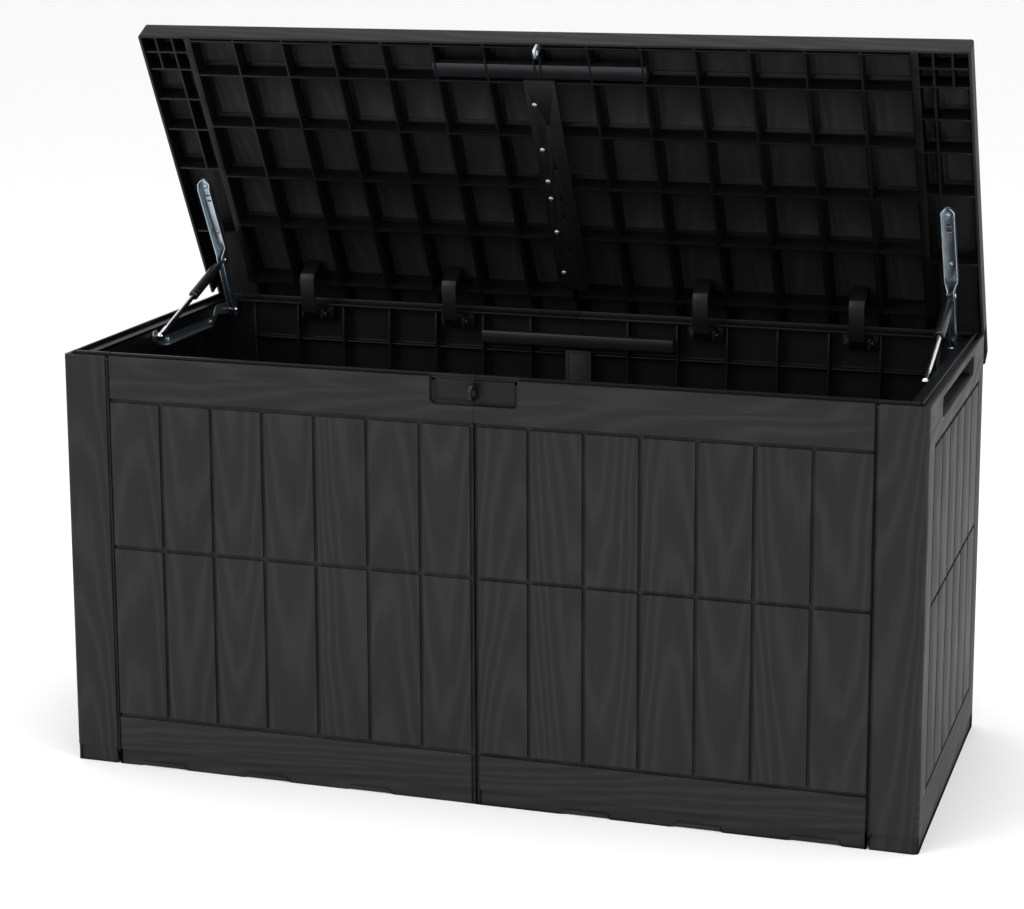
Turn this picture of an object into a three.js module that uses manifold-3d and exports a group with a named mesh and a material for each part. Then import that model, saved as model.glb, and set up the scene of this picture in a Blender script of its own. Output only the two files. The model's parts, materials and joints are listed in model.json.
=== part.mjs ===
// Deck storage box: a resin chest of screwed-together half panels with a two-piece lid,
// four concealed hinge straps and a pair of gas lid stays. Millimetres, +Z up, front towards -Y.
// The origin is on the ground under the middle of the box. The lid stands open.
import * as THREE from "three";
import { mergeVertices } from "three/addons/utils/BufferGeometryUtils.js";
import Module from "manifold-3d";

const wasm = await Module();
wasm.setup();

// driving dimensions
const WIDTH = 1210; // over the side panels
const DEPTH = 524; // over the front and back panels
const SKIN_TOP = 594; // top edge of the outer skins
const RIDGE_TOP = 598; // raised ridge round the rim that the lid closes on
const FLANGE_TOP = 592; // flat inner part of the rim
const WALL = 31; // depth of a ribbed wall, skin to rim edge
const SKIN = 4; // thickness of skins and flanges
const RIB = 3; // thickness of stiffening ribs
const CORNER = 9; // outer radius of the corner posts
const GAP = 0.4; // clearance between pieces that touch

const RIB_LEVELS = [532, 321, 73]; // level ribs, behind the grooves between the planks
const FIELD_END = 535; // half length of the plank field on the front
const PLANKS = 7; // planks in each half of the front
const PITCH = FIELD_END / PLANKS; // spacing of the upright ribs
const SEAM = 6; // half width of the recessed strip between the half panels
const POST_END = 541.5; // inner edge of the corner posts
const BASE_TOP = 22; // height of the inset base band
const BASE_INSET = 3;
const FEET = [[0, 121], [190, 274], [345, 431], [505, 602]]; // spans of the feet on each half
const NOTCH = 7; // rise of the gaps between the feet

const LATCH_HALF = 62; // half width of the latch recess
const LATCH_LOW = 557;
const LATCH_DEPTH = 8;
const HANDLE_HALF = 150; // the carrying pockets in the side panels
const HANDLE_LOW = 556;
const HANDLE_HIGH = 584;
const HANDLE_DEPTH = 21;

const HINGE_Y = 228; // the axis that lid, hinge straps and stays turn about
const HINGE_Z = 576;
const LID_OPEN = 61; // degrees from closed
const LID_HALF = 607; // half length of the lid
const LID_FRONT = -268; // the closed lid's edges and levels
const LID_BACK = 272;
const LID_EDGE = 596;
const LID_TOP = 628;
const LID_CORNER = 16;
const RIB_TIP = 598.5;
const RIB_BACK = 190; // rear end of the deep rib field
const WALL_CLEAR = 213; // behind this the open lid passes over the back wall,
const SHALLOW = 617; // so its ribs and skirts come down only to here
const LID_CROSS = [-258, -199, -107, -15, 78, RIB_BACK - RIB / 2]; // ribs from side to side
const LID_FIELD = 531; // the thick rib at each end of the field
const BAND_CROSS = [-238, -208, -155, -100, -28, 92]; // short ribs of the end bands

const STRAPS = [-428, -196, 196, 428];
const STRAP_WIDTH = 23;
const STAY_X = 565; // plane of the gas stays
const STAY_TOP = [137, 585.3]; // upper stay pivot on the closed lid, [y, z]
const STAY_FOOT = [-35, 580]; // lower stay pivot on the wall arm
const SIDE_WALL = 29.5; // depth of the ribbed side walls, which clear the stay brackets
const ARM_X = 572.8; // inner face of the wall arm
const SHEET = 2; // thickness of the zinc plated sheet

// finishes
const resin = finish(0x24252a, 0.62, 0);
const resinDark = finish(0x17181b, 0.5, 0);
const steelBlack = finish(0x141517, 0.4, 0.2);
const zinc = finish(0xaeb9c0, 0.35, 1);
const polished = finish(0xd8dde0, 0.2, 1);

function finish(color, roughness, metalness) {
  return new THREE.MeshStandardMaterial({ color, roughness, metalness });
}

// solids
function toSolid(geometry) {
  const bare = geometry.clone();
  bare.deleteAttribute("normal");
  bare.deleteAttribute("uv");
  const merged = mergeVertices(bare, 1e-4);
  return new wasm.Manifold(
    new wasm.Mesh({
      numProp: 3,
      vertProperties: merged.attributes.position.array.map(toMicron),
      triVerts: new Uint32Array(merged.index.array),
    }),
  );
}

// coordinates are rounded so that faces meant to lie in one plane do
function toMicron(value) {
  return Math.round(value * 1000) / 1000;
}

function toGeometry(solid) {
  const mesh = solid.getMesh();
  const places = new Float32Array(mesh.numVert * 3);
  for (let i = 0; i < mesh.numVert; i++) {
    const at = i * mesh.numProp;
    places.set(mesh.vertProperties.subarray(at, at + 3), i * 3);
  }
  const geometry = new THREE.BufferGeometry();
  geometry.setAttribute("position", new THREE.BufferAttribute(places, 3));
  geometry.setIndex(new THREE.BufferAttribute(new Uint32Array(mesh.triVerts), 1));
  geometry.computeVertexNormals();
  return geometry;
}

function join(...pieces) {
  return toGeometry(pieces.map(toSolid).reduce((sum, next) => sum.add(next)));
}

function carve(piece, ...cuts) {
  return toGeometry(cuts.map(toSolid).reduce((rest, cut) => rest.subtract(cut), toSolid(piece)));
}

function common(piece, other) {
  return toGeometry(toSolid(piece).intersect(toSolid(other)));
}

// a block between two x, two y and two z values, in either order
function block(x, y, z) {
  const size = [x, y, z].map(([a, b]) => Math.abs(b - a));
  const middle = [x, y, z].map(([a, b]) => (a + b) / 2);
  return new THREE.BoxGeometry(...size).translate(...middle);
}

// an outline extruded along an axis: across x the points are [y, z], across y [x, z], across z [x, y]
function slab(axis, span, points) {
  const outline = points instanceof THREE.Shape ? points : new THREE.Shape(points.map(pair));
  const settings = { depth: width(span), bevelEnabled: false, curveSegments: 6 };
  return placeSlab(axis, span, new THREE.ExtrudeGeometry(outline, settings));
}

function pair([u, v]) {
  return new THREE.Vector2(u, v);
}

function width(span) {
  return Math.abs(span[1] - span[0]);
}

function placeSlab(axis, span, geometry) {
  const low = Math.min(...span);
  const high = Math.max(...span);
  if (axis === "z") return geometry.translate(0, 0, low);
  const turn = new THREE.Matrix4();
  if (axis === "x") turn.makeBasis(vector(0, 1, 0), vector(0, 0, 1), vector(1, 0, 0));
  else turn.makeBasis(vector(1, 0, 0), vector(0, 0, 1), vector(0, -1, 0));
  geometry.applyMatrix4(turn);
  return axis === "x" ? geometry.translate(low, 0, 0) : geometry.translate(0, high, 0);
}

function vector(x, y, z) {
  return new THREE.Vector3(x, y, z);
}

// a round bar along x between two x values, centred on [y, z]
function barX(x, [y, z], radius, sides = 16) {
  return new THREE.CylinderGeometry(radius, radius, width(x), sides)
    .rotateZ(Math.PI / 2)
    .translate((x[0] + x[1]) / 2, y, z);
}

// a round bar along z between two z values, centred on [x, y]
function barZ(z, [x, y], radius, sides = 12) {
  return new THREE.CylinderGeometry(radius, radius, width(z), sides)
    .rotateX(Math.PI / 2)
    .translate(x, y, (z[0] + z[1]) / 2);
}

function roundedRectangle(halfX, low, high, radius) {
  const shape = new THREE.Shape();
  shape.moveTo(-halfX + radius, low);
  shape.lineTo(halfX - radius, low);
  shape.absarc(halfX - radius, low + radius, radius, -Math.PI / 2, 0);
  shape.lineTo(halfX, high - radius);
  shape.absarc(halfX - radius, high - radius, radius, 0, Math.PI / 2);
  shape.lineTo(-halfX + radius, high);
  shape.absarc(-halfX + radius, high - radius, radius, Math.PI / 2, Math.PI);
  shape.lineTo(-halfX, low + radius);
  shape.absarc(-halfX + radius, low + radius, radius, Math.PI, 1.5 * Math.PI);
  return shape;
}

// a strip of even thickness along a bent line of [y, z] points, with the line down its middle
function strip(points, thickness) {
  const side = (sign) =>
    points.map((point, i) => {
      const before = points[Math.max(i - 1, 0)];
      const after = points[Math.min(i + 1, points.length - 1)];
      const inward = direction(before, i > 0 ? point : after);
      const outward = direction(i < points.length - 1 ? point : before, after);
      const mitre = new THREE.Vector2().addVectors(inward, outward).normalize();
      const reach = (sign * thickness) / 2 / mitre.dot(inward);
      return [point[0] - mitre.y * reach, point[1] + mitre.x * reach];
    });
  return [...side(-1), ...side(1).reverse()];
}

function direction([ay, az], [by, bz]) {
  return new THREE.Vector2(by - ay, bz - az).normalize();
}

// walls
function rimAlongX(side, x) {
  const edge = (inward) => side * (DEPTH / 2 - inward);
  return [
    block(x, [edge(1.5), edge(WALL)], [FLANGE_TOP - SKIN, FLANGE_TOP]),
    block(x, [edge(10), edge(14)], [FLANGE_TOP - 2, RIDGE_TOP]),
  ];
}

function feetCuts(side, hand) {
  const y = [side * (DEPTH / 2 + 1), side * (DEPTH / 2 - 12)];
  return FEET.slice(1).map(([start], i) => {
    const end = FEET[i][1];
    const points = [[end, -1], [end + 8, NOTCH], [start - 4, NOTCH], [start, -1]];
    return slab("y", y, points.map(([x, z]) => [hand * x, z]));
  });
}

// one half of the front (side -1) or the back (side 1); hand is -1 on the left and 1 on the right
function wallHalf(side, hand) {
  const face = side * (DEPTH / 2);
  const inner = face - side * SKIN;
  const ribEdge = face - side * 26;
  const end = POST_END - 4 - GAP;
  const root = inner + side * 1.5;
  const pieces = [
    block([hand * SEAM, hand * end], [face, inner], [BASE_TOP, SKIN_TOP]),
    block([hand * GAP / 2, hand * (SEAM + 3)], [face - side * 3, face - side * 7.5], [BASE_TOP - 6, FLANGE_TOP - 1]),
    block([hand * GAP / 2, hand * end], [face - side * BASE_INSET, face - side * 8], [0, BASE_TOP + 4]),
    ...rimAlongX(side, [hand * GAP / 2, hand * end]),
  ];
  for (let i = 1; i <= PLANKS - 1; i++) {
    const middle = hand * i * PITCH;
    pieces.push(block([middle - RIB / 2, middle + RIB / 2], [root, ribEdge], [30, FLANGE_TOP - 1]));
  }
  for (const z of RIB_LEVELS) {
    const level = [z - RIB / 2, z + RIB / 2];
    pieces.push(block([hand * (SEAM + 1), hand * (end - 8)], [root, ribEdge + side * 6], level));
  }
  const cuts = feetCuts(side, hand);
  if (side < 0) {
    const floorY = face + LATCH_DEPTH;
    const backing = [LATCH_LOW - 4, FLANGE_TOP - 0.5];
    pieces.push(block([hand * GAP / 2, hand * (LATCH_HALF + 4)], [root, floorY + 3.5], backing));
    cuts.push(block([-hand * 5, hand * LATCH_HALF], [face - 5, floorY], [LATCH_LOW, RIDGE_TOP + 5]));
  }
  return carve(join(...pieces), ...cuts);
}

function sidePanel(hand) {
  const x = (inward) => hand * (WIDTH / 2 - inward);
  const halfDepth = DEPTH / 2;
  const inset = halfDepth - BASE_INSET;
  const pieces = [
    block([x(0), x(SKIN)], [-halfDepth, halfDepth], [BASE_TOP, SKIN_TOP]),
    block([x(BASE_INSET), x(8)], [-inset, inset], [0, BASE_TOP + 4]),
  ];
  for (const side of [-1, 1]) {
    const face = side * halfDepth;
    const tongue = [hand * (POST_END - 4), hand * (POST_END + 3)];
    pieces.push(
      block([x(1), hand * POST_END], [face, face - side * SKIN], [BASE_TOP, SKIN_TOP]),
      block(tongue, [face - side * 3, face - side * 7.5], [BASE_TOP - 6, FLANGE_TOP - 1]),
      block([x(BASE_INSET + 1), hand * (POST_END - 4)], [side * inset, side * (halfDepth - 8)], [0, BASE_TOP + 4]),
      ...rimAlongX(side, [x(12), hand * (POST_END - 4)]),
    );
  }
  pieces.push(
    block([x(1.5), x(SIDE_WALL)], [-halfDepth + 2, halfDepth - 2], [FLANGE_TOP - SKIN, FLANGE_TOP]),
    block([x(10), x(14)], [-halfDepth + 10, halfDepth - 10], [FLANGE_TOP - 2, RIDGE_TOP]),
    block([x(SIDE_WALL - RIB), x(SIDE_WALL)], [-halfDepth + WALL, halfDepth - WALL], [550, FLANGE_TOP - 1]),
    block([x(SKIN - 1), x(HANDLE_DEPTH + RIB)], [-HANDLE_HALF - RIB, HANDLE_HALF + RIB],
      [HANDLE_LOW - RIB, HANDLE_HIGH + RIB]),
  );
  const sidePitch = (DEPTH - 104) / 6;
  for (let i = -2; i <= 2; i++) {
    const middle = i * sidePitch;
    pieces.push(block([x(SKIN - 1), x(26)], [middle - RIB / 2, middle + RIB / 2], [30, HANDLE_LOW - 1]));
  }
  const cuts = [block([x(-2), x(HANDLE_DEPTH)], [-HANDLE_HALF, HANDLE_HALF], [HANDLE_LOW, HANDLE_HIGH])];
  const fieldHalf = halfDepth - 52;
  for (const z of RIB_LEVELS)
    pieces.push(block([x(SKIN - 1), x(20)], [-fieldHalf, fieldHalf], [z - RIB / 2, z + RIB / 2]));
  for (const side of [-1, 1]) cuts.push(...feetCuts(side, hand).slice(-1));
  const rounded = slab("z", [-1, RIDGE_TOP + 1], roundedRectangle(WIDTH / 2, -halfDepth, halfDepth, CORNER));
  return common(carve(join(...pieces), ...cuts), rounded);
}

function floorHalf(hand) {
  const reachY = DEPTH / 2 - 8 - GAP;
  const end = WIDTH / 2 - 8 - GAP;
  const pieces = [block([hand * GAP / 2, hand * end], [-reachY, reachY], [20, 24])];
  for (let i = 1; i <= PLANKS; i++) {
    const middle = hand * (i * PITCH - 12);
    pieces.push(block([middle - RIB / 2, middle + RIB / 2], [-reachY + 6, reachY - 6], [2, 21]));
  }
  for (const y of [-160, 0, 160])
    pieces.push(block([hand * 60, hand * (end - 30)], [y - RIB / 2, y + RIB / 2], [2, 21]));
  return join(...pieces);
}

function floorRail() {
  return carve(block([-22, 22], [-205, 205], [0, 20 - GAP]), block([-16, 16], [-199, -8], [4, 30]),
    block([-16, 16], [8, 199], [4, 30]));
}

function jointCover(side) {
  const edge = (inward) => side * (DEPTH / 2 - inward);
  return join(
    block([-20, 20], [edge(26 + GAP), edge(29)], [84, 540]),
    block([-14, 14], [edge(26 + GAP), edge(30.5)], [90, 534]),
  );
}

function squareTube(x, y, z, wall) {
  const inset = ([a, b]) => [a + wall, b - wall];
  return carve(block(x, y, z), block([x[0] - 1, x[1] + 1], inset(y), inset(z)));
}

function padlockLoop() {
  const face = -DEPTH / 2 + LATCH_DEPTH - GAP;
  const shape = new THREE.Shape();
  shape.moveTo(face, 564);
  shape.lineTo(face, 588);
  shape.lineTo(face - 9, 588);
  shape.absarc(face - 12, 576, 12, Math.PI / 2, 1.5 * Math.PI);
  const opening = new THREE.Path().absarc(face - 12, 576, 5.5, 0, 2 * Math.PI, true);
  shape.holes.push(opening);
  return slab("x", [-2.5, 2.5], shape);
}

// lid, modelled closed
function lidHalf(hand) {
  const inner = hand * (LID_HALF - SKIN);
  const pad = [hand * GAP / 2, hand * (LID_HALF + 5)];
  const outline = new THREE.ExtrudeGeometry(
    roundedRectangle(LID_HALF - 6, LID_FRONT + 6, LID_BACK - 6, LID_CORNER - 6),
    { depth: 60, bevelEnabled: true, bevelThickness: 7, bevelSize: 6, bevelSegments: 3, curveSegments: 4 },
  ).translate(0, 0, LID_TOP - 67);
  const body = common(outline, block(pad, [LID_FRONT - 5, LID_BACK + 5], [LID_EDGE, LID_TOP + 5]));
  const hollow = slab("z", [LID_EDGE - 1, LID_TOP - SKIN],
    roundedRectangle(LID_HALF - SKIN, LID_FRONT + SKIN, LID_BACK - SKIN, LID_CORNER - SKIN));
  const shell = carve(body, hollow, block(pad, [LID_BACK - 20, LID_BACK + 5], [LID_EDGE - 1, RIB_TIP]));
  const deep = [RIB_TIP, LID_TOP - SKIN + 1];
  const field = [LID_FRONT + SKIN - 1, RIB_BACK];
  const pieces = [shell];
  for (let i = 1; i < PLANKS; i++)
    pieces.push(block([hand * i * PITCH - RIB / 2, hand * i * PITCH + RIB / 2], field, deep));
  pieces.push(block([hand * (LID_FIELD - 5), hand * (LID_FIELD + 5)], field, deep));
  pieces.push(block([hand * 3, hand * 6], field, deep));
  for (const y of LID_CROSS)
    pieces.push(block([hand * 3, hand * (LID_FIELD + 5)], [y - RIB / 2, y + RIB / 2], deep));
  const band = [hand * LID_FIELD, inner + hand];
  for (const y of BAND_CROSS) pieces.push(block(band, [y - RIB / 2, y + RIB / 2], deep));
  pieces.push(block([hand * 554, hand * 557], [field[0], BAND_CROSS[4]], deep));
  pieces.push(block([hand * 580, hand * 583], [field[0], BAND_CROSS[1]], deep));
  const shallow = [SHALLOW, LID_TOP - SKIN + 1];
  const rear = [RIB_BACK - 1, LID_BACK - SKIN + 1];
  for (let i = 1; i <= PLANKS; i++)
    pieces.push(block([hand * i * PITCH - RIB / 2, hand * i * PITCH + RIB / 2], rear, shallow));
  const cuts = [
    block([-158, 158], [-229 - 1, -206 + 1], [RIB_TIP - 1, 611]),
    block([-LID_HALF - 1, LID_HALF + 1], [WALL_CLEAR, LID_BACK - SKIN], [LID_EDGE - 1, SHALLOW]),
  ];
  const screws = [...plateScrews, ...bracketScrews.map((y) => [hand * STAY_X, y])];
  for (const at of screws.filter(([x]) => x * hand > 0)) {
    pieces.push(barZ([RIB_TIP + 0.5, LID_TOP - 3], at, 6, 6));
    cuts.push(barZ([RIB_TIP - 1, 616], at, 2.6, 6));
  }
  return toOrigin(carve(join(...pieces), ...cuts));
}

// moves a piece modelled on the closed lid into the frame of the hinge axis
function toOrigin(geometry) {
  return geometry.translate(0, -HINGE_Y, -HINGE_Z);
}

const plateScrews = [-165, -87, -31, 0, 61, 137].map((y) => [-12, y]);
const bracketScrews = [4, 90];

function lidPlate() {
  const plate = block([-23, 23], [-206, 169], [RIB_TIP - GAP - 4, RIB_TIP - GAP]);
  const holes = plateScrews.flatMap(([x, y]) => [[x, y], [x + 15, y + 33]]);
  return toOrigin(carve(plate, ...holes.map((at) => barZ([RIB_TIP - 6, RIB_TIP + 1], at, 2.6, 6))));
}

// a pan head screw driven upwards, its head under height z
function screwUp([x, y], z) {
  const profile = [[0, 0], [2.2, 0], [3.6, 1.2], [3.6, 2.4], [0, 2.4]];
  const head = new THREE.LatheGeometry(profile.map(pair), 10).rotateX(Math.PI / 2);
  return toOrigin(join(head.translate(x, y, z - 2.4), barZ([z - 1, z + 14], [x, y], 2.2, 6)));
}

// a screw driven sideways into a side wall, its head against the plane |x|
function screwSide(hand, x, [y, z]) {
  const head = barX([hand * (x - 2.4), hand * (x - 0.2)], [y, z], 3.6, 10);
  return join(head, barX([hand * (x - 1), hand * (x + 2.3)], [y, z], 2.1, 6));
}

function latchTab() {
  const shape = new THREE.Shape();
  shape.moveTo(-263.5, 623.5);
  shape.lineTo(-263.5, 595.5);
  shape.lineTo(-269, 592);
  shape.lineTo(-272.5, 586);
  shape.lineTo(-272.5, 573);
  shape.lineTo(-269.5, 570);
  shape.lineTo(-259, 570);
  shape.lineTo(-256, 573);
  shape.lineTo(-256, 592);
  shape.lineTo(-260, 597);
  shape.lineTo(-260, 623.5);
  shape.holes.push(new THREE.Path().absarc(-264.5, 578, 4.5, 0, 2 * Math.PI, true));
  return shape;
}

// hinges
function hingeStrap(x) {
  const half = STRAP_WIDTH / 2;
  const line = [[-2, -2], [-15, -13.5], [-62, 5], [-68, 12], [-68, 44], [-64, 45], [-46, 45]];
  const knuckle = barX([x - half, x + half], [0, 0], 6.5, 12);
  const body = join(knuckle, slab("x", [x - half, x + half], strip(line, 4.5)));
  return carve(body, barX([x - half - 1, x + half + 1], [0, 0], 3.3, 12));
}

function hingeBracket(x) {
  const ear = (from, to) => block([x + from, x + to], [221.5, 246], [569, 584]);
  const bar = block([x - 27, x + 27], [243, DEPTH / 2 - SKIN - GAP], [563, FLANGE_TOP - SKIN - GAP]);
  return carve(join(bar, ear(-18, -13), ear(13, 18)), barX([x - 30, x + 30], [HINGE_Y, HINGE_Z], 3.3, 12));
}

function hingePin(x) {
  const at = [HINGE_Y, HINGE_Z];
  return join(barX([x - 20, x + 20], at, 2.9, 12), barX([x + 18.4, x + 21.5], at, 4.6, 12));
}

// gas stays
function closedOnLid([y, z]) {
  return [y - HINGE_Y, z - HINGE_Z];
}

// the folded sheet that carries the stay on the lid and reaches back to the hinge axis
function lidBracket(hand) {
  const x = hand * STAY_X;
  const top = RIB_TIP - GAP - HINGE_Z;
  const [pivotA, pivotB] = closedOnLid(STAY_TOP);
  const back = -238;
  const wideEnd = -113;
  const plan = (wide, narrow, corner) => {
    const right = [[wide - 6, back], [wide, back + 6], [wide, wideEnd], [narrow, wideEnd + corner], [narrow, 12]];
    const left = right.map(([u, v]) => [-u, v]).reverse();
    return [...right, ...left].map(([u, v]) => [x + u, v]);
  };
  const across = [x - 12, x + 12];
  const sideView = [
    [back - 1, top], [wideEnd + 8, top], [pivotA, top], [-60, 12], [-10, 8], [10, 8],
    [10, -8], [-6, -8], [pivotA + 8, pivotB - 9], [pivotA - 9, pivotB - 9],
    [wideEnd, top - 12], [back + 14, top - 12], [back - 1, top - 5],
  ];
  const channel = [
    [back - 5, top - SHEET], [wideEnd + 8, top - SHEET], [pivotA, top - SHEET],
    [-60, 12 - SHEET], [-30, 9 - SHEET], [20, 9 - SHEET], [20, -30], [back - 5, -30],
  ];
  const outer = common(slab("z", [-20, 30], plan(9.8, 5, 11)), slab("x", across, sideView));
  const inner = common(slab("z", [-30, 30], plan(8.2, 3.4, 11)), slab("x", across, channel));
  const holes = [
    barX([x - 12, x + 12], [pivotA, pivotB], 2.8, 10),
    barX([x - 12, x + 12], [0, 0], 2.8, 10),
    ...bracketScrews.map((y) => barZ([top - 6, top + 2], [x, y - HINGE_Y], 2.6, 6)),
    block([x - 4, x + 4], [back + 30, back + 33], [top - 6, top + 2]),
    block([x - 4, x + 4], [back + 40, back + 43], [top - 6, top + 2]),
  ];
  return carve(outer, inner, ...holes);
}

function wallArm(hand) {
  const [footY, footZ] = STAY_FOOT;
  const outline = [
    [237, 572], [237, 581], [231, 586], [188, 590], [178, 586], [171, 574], [4, 574], [-14, 576],
    [footY + 9, footZ + 4], [footY + 4, footZ + 8], [footY - 5, footZ + 8], [footY - 9, footZ + 3],
    [footY - 8, footZ - 6], [-24, 563], [-8, 560], [164, 560], [176, 565], [186, 575], [220, 569], [228, 567.5],
  ];
  const x = [hand * ARM_X, hand * (ARM_X + SHEET)];
  const lip = block([hand * (ARM_X - 5), hand * (ARM_X + 1)], [-2, 158], [560, 562]);
  const holes = [[HINGE_Y, HINGE_Z], ...armScrews].map((at) => barX([hand * 560, hand * 580], at, 2.8, 10));
  return carve(join(slab("x", x, outline), lip), ...holes);
}

const armScrews = [[160, 567.5], [8, 567.5]];

// rivet through the wall arm and the lid bracket on the hinge axis
function axisRivet(hand) {
  const at = [HINGE_Y, HINGE_Z];
  const shank = barX([hand * (STAY_X - 6.5), hand * (ARM_X + SHEET + 0.3)], at, 2.4, 12);
  return join(shank, barX([hand * (STAY_X - 7.4), hand * (STAY_X - 5.3)], at, 4.4, 12));
}

function stayPin(hand) {
  const at = closedOnLid(STAY_TOP);
  const x = hand * STAY_X;
  const ends = [-1, 1].map((end) => barX([x + end * 5.3, x + end * 7], at, 4.2, 12));
  return join(barX([x - 6, x + 6], at, 2.4, 12), ...ends);
}

// gas cylinder and rod are modelled along +y from the upper pivot, then turned to the foot
const CYLINDER_LENGTH = 118;
const BORE_START = 30; // the bore leaves room for the rod when the lid is shut

function gasCylinder() {
  const outside = [[0, 12], [3, 12], [3, 22], [5.6, 22], [7.5, 25], [7.5, CYLINDER_LENGTH - 3]];
  const mouth = [[6.2, CYLINDER_LENGTH], [4.4, CYLINDER_LENGTH], [4.4, BORE_START], [0, BORE_START]];
  const tube = new THREE.LatheGeometry([...outside, ...mouth].map(pair), 14);
  const eye = join(barX([-2.6, 2.6], [0, 0], 6, 12), block([-2.6, 2.6], [0, 16], [-2.5, 2.5]));
  return carve(join(eye, tube), barX([-5, 5], [0, 0], 2.8));
}

function stayRod(length) {
  const profile = [[0, 102], [3.9, 102], [3.9, length - 14], [0, length - 14]];
  const shank = new THREE.LatheGeometry(profile.map(pair), 12);
  const end = block([-2.5, 2.5], [length - 24, length], [-4.6, 4.6]);
  const flat = join(end, barX([-2.5, 2.5], [length, 0], 6));
  return carve(join(shank, flat), barX([-5, 5], [length, 0], 2.8));
}

// short stud that rides in the rod's eye and faces the wall arm
function footStud(hand, length) {
  const out = hand > 0 ? 1 : -1;
  const head = barX([-out * 4.6, -out * 2.9], [length, 0], 4.2, 12);
  return join(head, barX([-out * 4.4, out * 7.2], [length, 0], 2.4, 12));
}

// assembly
const box = new THREE.Group();
const lid = new THREE.Group();
lid.position.set(0, HINGE_Y, HINGE_Z);
lid.rotation.x = -THREE.MathUtils.degToRad(LID_OPEN);
box.add(lid);

function add(parent, name, geometry, material) {
  const mesh = new THREE.Mesh(geometry, material);
  mesh.name = name;
  parent.add(mesh);
}

const hands = [[-1, "left"], [1, "right"]];
for (const [hand, word] of hands) {
  add(box, `front_panel_${word}`, wallHalf(-1, hand), resin);
  add(box, `back_panel_${word}`, wallHalf(1, hand), resin);
  add(box, `side_panel_${word}`, sidePanel(hand), resin);
  add(box, `floor_panel_${word}`, floorHalf(hand), resinDark);
  add(lid, `lid_panel_${word}`, lidHalf(hand), resin);
}
add(box, "floor_joint_rail", floorRail(), resinDark);
add(box, "front_joint_cover", jointCover(-1), resinDark);
add(box, "back_joint_cover", jointCover(1), resinDark);
add(box, "back_reinforcement_tube", squareTube([-150, 150], [223, 235.5], [547, 565], 1.6), steelBlack);
add(box, "padlock_loop", padlockLoop(), resinDark);
add(lid, "lid_joint_plate", lidPlate(), resinDark);
const barTube = squareTube([-157, 157], [-229, -206], [599, 610], 1.6);
add(lid, "lid_reinforcement_tube", toOrigin(barTube), steelBlack);
add(lid, "lid_latch_tab", toOrigin(slab("x", [7, 11], latchTab())), zinc);
const underPlate = RIB_TIP - GAP - 4 - 0.2;
plateScrews.forEach((at, i) => add(lid, `lid_joint_screw_${i + 1}`, screwUp(at, underPlate), zinc));

STRAPS.forEach((x, i) => {
  add(lid, `hinge_strap_${i + 1}`, hingeStrap(x), resinDark);
  add(box, `hinge_bracket_${i + 1}`, hingeBracket(x), resinDark);
  add(box, `hinge_pin_${i + 1}`, hingePin(x), steelBlack);
});

// where the upper pivot stands with the lid open, and the stay's line from there to the foot
const open = THREE.MathUtils.degToRad(LID_OPEN);
const [topA, topB] = closedOnLid(STAY_TOP);
const topY = HINGE_Y + topA * Math.cos(open) + topB * Math.sin(open);
const topZ = HINGE_Z - topA * Math.sin(open) + topB * Math.cos(open);
const stayLength = Math.hypot(topY - STAY_FOOT[0], topZ - STAY_FOOT[1]);
const stayAngle = Math.atan2(STAY_FOOT[1] - topZ, STAY_FOOT[0] - topY);

for (const [hand, word] of hands) {
  add(lid, `lid_bracket_${word}`, lidBracket(hand), zinc);
  bracketScrews.forEach((y, i) => {
    const geometry = screwUp([hand * STAY_X, y], RIB_TIP - GAP - SHEET - 0.3);
    add(lid, `lid_bracket_screw_${word}_${i + 1}`, geometry, zinc);
  });
  add(lid, `stay_pin_${word}`, stayPin(hand), polished);
  add(box, `wall_arm_${word}`, wallArm(hand), zinc);
  armScrews.forEach((at, i) => {
    add(box, `wall_arm_screw_${word}_${i + 1}`, screwSide(hand, ARM_X, at), zinc);
  });
  add(box, `axis_rivet_${word}`, axisRivet(hand), polished);
  const stay = new THREE.Group();
  stay.position.set(hand * STAY_X, topY, topZ);
  stay.rotation.x = stayAngle;
  box.add(stay);
  add(stay, `gas_cylinder_${word}`, gasCylinder(), steelBlack);
  add(stay, `gas_rod_${word}`, stayRod(stayLength), polished);
  add(stay, `foot_stud_${word}`, footStud(hand, stayLength), polished);
}

export default box;
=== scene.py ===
import bmesh
import bpy
import json
import math
from mathutils import Matrix, Vector


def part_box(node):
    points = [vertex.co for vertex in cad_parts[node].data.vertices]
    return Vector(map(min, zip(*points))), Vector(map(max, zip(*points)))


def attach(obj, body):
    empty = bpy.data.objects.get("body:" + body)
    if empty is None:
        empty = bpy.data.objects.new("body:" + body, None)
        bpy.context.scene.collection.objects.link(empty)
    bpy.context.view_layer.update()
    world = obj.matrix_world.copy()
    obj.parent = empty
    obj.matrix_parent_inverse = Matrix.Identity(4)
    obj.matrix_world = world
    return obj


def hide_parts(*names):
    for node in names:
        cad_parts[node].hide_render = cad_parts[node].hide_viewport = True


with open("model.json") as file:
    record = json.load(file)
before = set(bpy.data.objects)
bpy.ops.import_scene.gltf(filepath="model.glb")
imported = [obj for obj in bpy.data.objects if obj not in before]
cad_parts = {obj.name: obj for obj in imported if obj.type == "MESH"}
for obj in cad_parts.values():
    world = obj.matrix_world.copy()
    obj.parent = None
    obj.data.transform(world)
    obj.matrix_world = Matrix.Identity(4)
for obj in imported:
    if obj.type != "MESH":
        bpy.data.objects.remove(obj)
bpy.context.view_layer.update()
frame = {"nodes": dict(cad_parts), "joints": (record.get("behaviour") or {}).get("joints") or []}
joints = {joint["name"]: joint for joint in frame["joints"]}
hands = ((-1, "left"), (1, "right"))
print("frame loaded")


# small tools for modelling

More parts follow.
